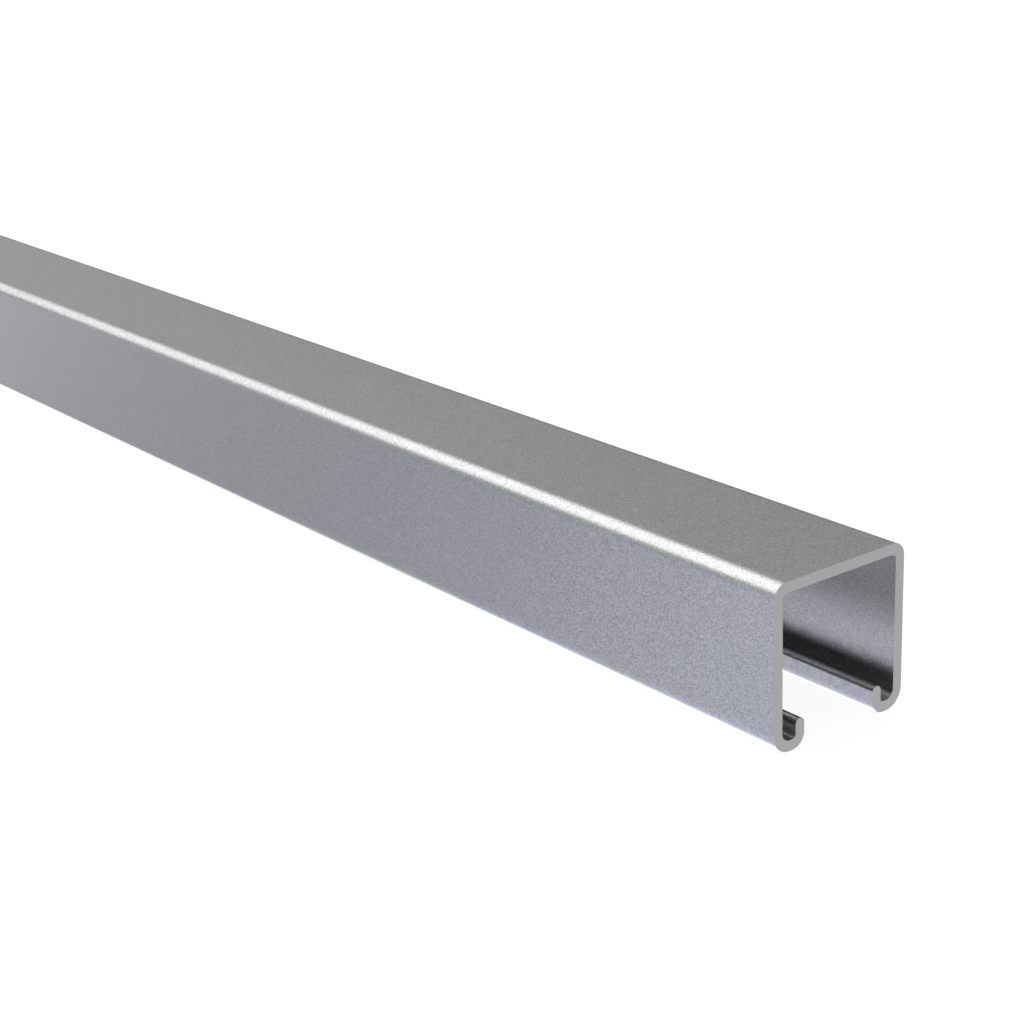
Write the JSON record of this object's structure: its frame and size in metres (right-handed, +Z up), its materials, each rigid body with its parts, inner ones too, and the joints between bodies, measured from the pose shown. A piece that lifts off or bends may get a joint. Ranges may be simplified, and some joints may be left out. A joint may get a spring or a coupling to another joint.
{
  "type": "strut channel",
  "caption": "Plain steel strut channel: a square C section, open side down, with in-turned lips whose rounded noses take a channel nut.",
  "frame": {"origin": "middle of the length, half-way between the flanges, on the surface that the feet of the two lips stand on", "axes": "+X along the stock, +Y across it from flange to flange, +Z up from the open side to the back"},
  "size_m": [1, 0.0412, 0.0413],
  "materials": {
    "galvanised_steel": "satin zinc, fine grained, with plain matt cut ends"
  },
  "bodies": {
    "root": {"strut_channel": "galvanised_steel"}
  },
  "joints": []
}
